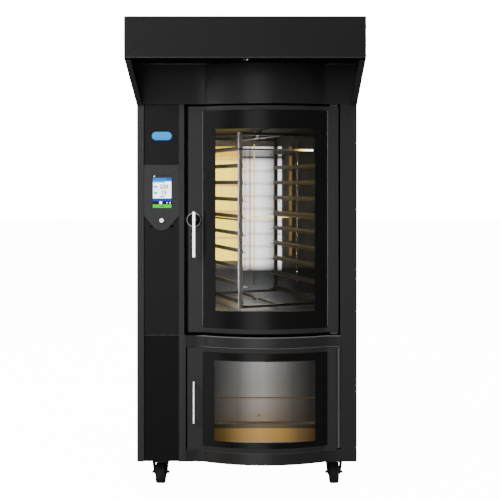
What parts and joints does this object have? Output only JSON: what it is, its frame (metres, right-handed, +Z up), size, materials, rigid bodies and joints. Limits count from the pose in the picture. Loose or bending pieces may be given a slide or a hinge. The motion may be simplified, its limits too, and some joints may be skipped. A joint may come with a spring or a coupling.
{
  "type": "rotating rack oven",
  "caption": "Floor-standing rotating rack oven with a bulged glass door, a proofing cabinet below, a touch control column and a hood, on swivel casters.",
  "frame": {"origin": "centre of the whole box in plan, on the floor under the wheels", "axes": "+X to the oven's right as seen from the front, +Y to its back, +Z up"},
  "size_m": [1.05, 1.544, 2.276],
  "materials": {
    "black_sheet": "satin black coated sheet",
    "dark_sheet": "satin black coated sheet, deeper",
    "stile_sheet": "satin anthracite coated sheet",
    "stainless": "brushed stainless sheet",
    "bright_steel": "polished steel",
    "zinc": "zinc plated",
    "door_glass": "toned glass with a black printed border",
    "screen": "lit display",
    "blue_lens": "lit blue lens",
    "lamp_glass": "heat-proof lamp glass",
    "gasket_rubber": "matt silicone",
    "tyre_rubber": "matt black tread",
    "wool": "mineral wool",
    "motor_paint": "painted motor casting"
  },
  "bodies": {
    "cabinet": {"base_frame": "zinc", "left_side_panel": "black_sheet", "right_side_panel": "black_sheet", "rear_panel": "black_sheet", "roof_panel": "stainless", "control_column": "black_sheet", "column_panel_upper": "black_sheet", "column_panel_lower": "dark_sheet", "plinth_panel": "black_sheet", "middle_front_panel": "dark_sheet", "upper_front_panel": "black_sheet", "control_plate": "stile_sheet", "touch_display": "screen", "status_lamp": "blue_lens", "oven_surround": "stainless", "oven_liner": "stainless", "insulation_jacket": "wool", "rear_air_baffle": "stainless", "door_gasket": "gasket_rubber", "cavity_lamp": "lamp_glass", "heating_element": "motor_paint", "fan_motor": "motor_paint", "gearmotor": "motor_paint", "upper_hinge_top": "zinc", "upper_hinge_bottom": "zinc", "proofer_liner": "stainless", "proofer_shelf": "stainless", "water_pan": "stainless", "lower_hinge_leaf": "zinc", "hood_shell": "black_sheet", "hood_top": "black_sheet", "hood_cheek_left": "black_sheet", "hood_cheek_right": "black_sheet", "hood_filter": "stainless", "hood_fan_housing": "zinc"},
    "upper_door": {"door_frame": "stile_sheet", "door_outer_glass": "door_glass", "door_inner_glass": "door_glass", "handle_rosette": "bright_steel"},
    "handle": {"door_handle": "bright_steel", "door_latch": "zinc"},
    "lower_door": {"lower_door_frame": "stile_sheet", "lower_door_glass": "door_glass", "lower_door_handle": "bright_steel"},
    "rack": {"drive_spindle": "stainless", "rack_left_side": "stainless", "rack_right_side": "stainless", "rack_top_frame": "stainless", "rack_base_frame": "stainless"},
    "button": {"power_button": "bright_steel"},
    "convection_wheel": {"convection_fan": "stainless"},
    "hood_wheel": {"hood_impeller": "stainless"},
    "caster_front_left": {"caster_fork_front_left": "zinc"},
    "caster_front_right": {"caster_fork_front_right": "zinc"},
    "caster_rear_left": {"caster_fork_rear_left": "zinc"},
    "caster_rear_right": {"caster_fork_rear_right": "zinc"},
    "wheel_front_left": {"caster_wheel_front_left": "tyre_rubber"},
    "wheel_front_right": {"caster_wheel_front_right": "tyre_rubber"},
    "wheel_rear_left": {"caster_wheel_rear_left": "tyre_rubber"},
    "wheel_rear_right": {"caster_wheel_rear_right": "tyre_rubber"}
  },
  "joints": [
    {"name": "upper_door_hinge", "type": "hinge", "parent": "cabinet", "child": "upper_door", "pos_m": [0.415, -0.366, 1.3], "axis": [0, 0, 1], "range_deg": [0, 125]},
    {"name": "handle_turn", "type": "hinge", "parent": "upper_door", "child": "handle", "pos_m": [-0.2526, -0.378, 1.297], "axis": [0, 1, 0], "range_deg": [0, 90]},
    {"name": "lower_door_hinge", "type": "hinge", "parent": "cabinet", "child": "lower_door", "pos_m": [0.438, -0.38, 0.44], "axis": [0, 0, 1], "range_deg": [0, 120]},
    {"name": "rack_spin", "type": "hinge", "parent": "cabinet", "child": "rack", "pos_m": [0.056, 0.07, 1.3], "axis": [0, 0, 1], "continuous": true},
    {"name": "button_press", "type": "slide", "parent": "cabinet", "child": "button", "axis": [0, 1, 0], "range_m": [0, 0.0025], "stiffness_N_per_m": 600},
    {"name": "convection_spin", "type": "hinge", "parent": "cabinet", "child": "convection_wheel", "pos_m": [0.066, 0.547, 1.3], "axis": [0, 1, 0], "continuous": true},
    {"name": "hood_fan_spin", "type": "hinge", "parent": "cabinet", "child": "hood_wheel", "pos_m": [0, -0.078, 2.113], "axis": [0, 0, 1], "continuous": true},
    {"name": "swivel_front_left", "type": "hinge", "parent": "cabinet", "child": "caster_front_left", "pos_m": [-0.424, -0.278, 0.142], "axis": [0, 0, 1], "continuous": true},
    {"name": "swivel_front_right", "type": "hinge", "parent": "cabinet", "child": "caster_front_right", "pos_m": [0.424, -0.278, 0.142], "axis": [0, 0, 1], "continuous": true},
    {"name": "swivel_rear_left", "type": "hinge", "parent": "cabinet", "child": "caster_rear_left", "pos_m": [-0.424, 0.672, 0.142], "axis": [0, 0, 1], "continuous": true},
    {"name": "swivel_rear_right", "type": "hinge", "parent": "cabinet", "child": "caster_rear_right", "pos_m": [0.424, 0.672, 0.142], "axis": [0, 0, 1], "continuous": true},
    {"name": "spin_front_left", "type": "hinge", "parent": "caster_front_left", "child": "wheel_front_left", "pos_m": [-0.424, -0.254, 0.055], "axis": [1, 0, 0], "continuous": true},
    {"name": "spin_front_right", "type": "hinge", "parent": "caster_front_right", "child": "wheel_front_right", "pos_m": [0.424, -0.254, 0.055], "axis": [1, 0, 0], "continuous": true},
    {"name": "spin_rear_left", "type": "hinge", "parent": "caster_rear_left", "child": "wheel_rear_left", "pos_m": [-0.424, 0.696, 0.055], "axis": [1, 0, 0], "continuous": true},
    {"name": "spin_rear_right", "type": "hinge", "parent": "caster_rear_right", "child": "wheel_rear_right", "pos_m": [0.424, 0.696, 0.055], "axis": [1, 0, 0], "continuous": true}
  ]
}
